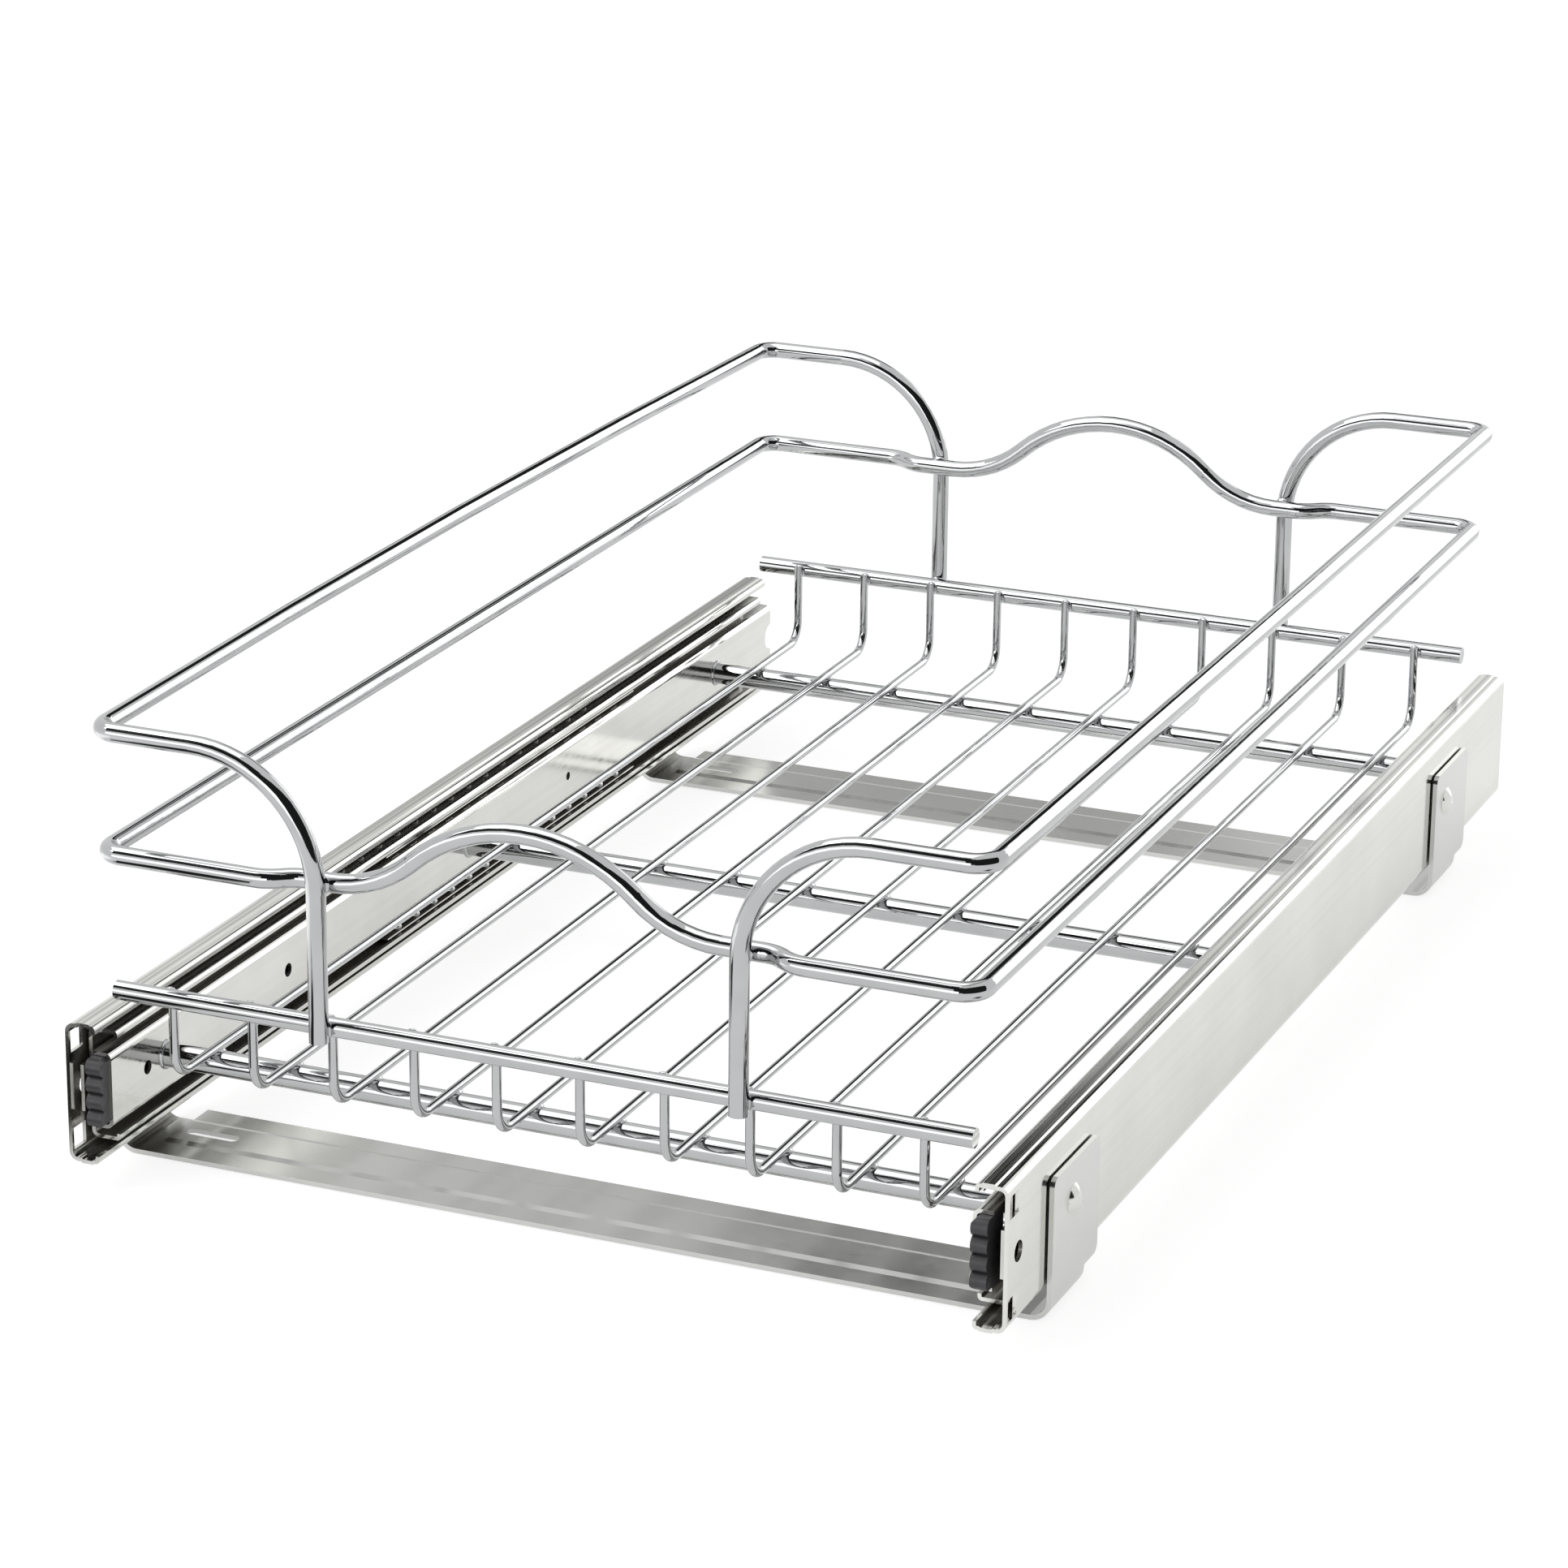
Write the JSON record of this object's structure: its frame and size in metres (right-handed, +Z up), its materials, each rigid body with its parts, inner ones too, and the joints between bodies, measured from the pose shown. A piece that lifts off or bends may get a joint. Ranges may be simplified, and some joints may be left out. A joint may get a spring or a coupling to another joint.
{
  "type": "pull-out wire basket",
  "caption": "Chromed wire basket with guard rails that pulls fully out of a base cabinet on two ball-bearing slides with floor brackets.",
  "frame": {"origin": "on the cabinet floor under the middle of the closed slides: X and Y are 0 half way between the slides and half way along them, and Z is 0 on the underside of the floor brackets", "axes": "+Y points to the back of the cabinet along the slides, -Y is the way the basket pulls out, +X is to the right seen from the front, +Z is up"},
  "size_m": [0.3116, 0.508, 0.1503],
  "materials": {
    "chrome": "polished chrome plate",
    "zinc": "bright zinc plate",
    "galvanised": "satin galvanised steel",
    "dark_plastic": "satin moulded plastic",
    "ball_steel": "polished steel"
  },
  "bodies": {
    "cabinet_frame": {"outer_member_left": "zinc", "outer_member_right": "zinc", "rear_stop_left": "dark_plastic", "rear_stop_right": "dark_plastic", "front_bracket": "galvanised", "rear_bracket": "galvanised", "tab_rivets": "zinc"},
    "basket": {"inner_member_left": "zinc", "inner_member_right": "zinc", "front_bumper_left": "dark_plastic", "front_bumper_right": "dark_plastic", "front_top_bar": "chrome", "rear_top_bar": "chrome", "front_cross_bar": "chrome", "middle_cross_bar": "chrome", "rear_cross_bar": "chrome", "guard_rail_left": "chrome", "guard_rail_right": "chrome", "wave_rail": "chrome", "floor_wire_1": "chrome", "floor_wire_2": "chrome", "floor_wire_3": "chrome", "floor_wire_4": "chrome", "floor_wire_5": "chrome", "floor_wire_6": "chrome", "floor_wire_7": "chrome", "floor_wire_8": "chrome", "floor_wire_9": "chrome", "floor_wire_10": "chrome"},
    "intermediate_left": {"intermediate_member_left": "zinc"},
    "outer_cage_left": {"outer_ball_cage_left": "zinc", "outer_balls_left": "ball_steel"},
    "inner_cage_left": {"inner_ball_cage_left": "zinc", "inner_balls_left": "ball_steel"},
    "intermediate_right": {"intermediate_member_right": "zinc"},
    "outer_cage_right": {"outer_ball_cage_right": "zinc", "outer_balls_right": "ball_steel"},
    "inner_cage_right": {"inner_ball_cage_right": "zinc", "inner_balls_right": "ball_steel"}
  },
  "joints": [
    {"name": "basket_slide", "type": "slide", "parent": "cabinet_frame", "child": "basket", "axis": [0, -1, 0], "range_m": [0, 0.508]},
    {"name": "intermediate_left_slide", "type": "slide", "parent": "cabinet_frame", "child": "intermediate_left", "axis": [0, -1, 0], "range_m": [0, 0.254]},
    {"name": "outer_cage_left_slide", "type": "slide", "parent": "cabinet_frame", "child": "outer_cage_left", "axis": [0, -1, 0], "range_m": [0, 0.127]},
    {"name": "inner_cage_left_slide", "type": "slide", "parent": "cabinet_frame", "child": "inner_cage_left", "axis": [0, -1, 0], "range_m": [0, 0.381]},
    {"name": "intermediate_right_slide", "type": "slide", "parent": "cabinet_frame", "child": "intermediate_right", "axis": [0, -1, 0], "range_m": [0, 0.254]},
    {"name": "outer_cage_right_slide", "type": "slide", "parent": "cabinet_frame", "child": "outer_cage_right", "axis": [0, -1, 0], "range_m": [0, 0.127]},
    {"name": "inner_cage_right_slide", "type": "slide", "parent": "cabinet_frame", "child": "inner_cage_right", "axis": [0, -1, 0], "range_m": [0, 0.381]}
  ],
  "couplings": [
    {"joint": "intermediate_left_slide", "follows": "basket_slide", "ratio": 0.5},
    {"joint": "outer_cage_left_slide", "follows": "basket_slide", "ratio": 0.25},
    {"joint": "inner_cage_left_slide", "follows": "basket_slide", "ratio": 0.75},
    {"joint": "intermediate_right_slide", "follows": "basket_slide", "ratio": 0.5},
    {"joint": "outer_cage_right_slide", "follows": "basket_slide", "ratio": 0.25},
    {"joint": "inner_cage_right_slide", "follows": "basket_slide", "ratio": 0.75}
  ]
}
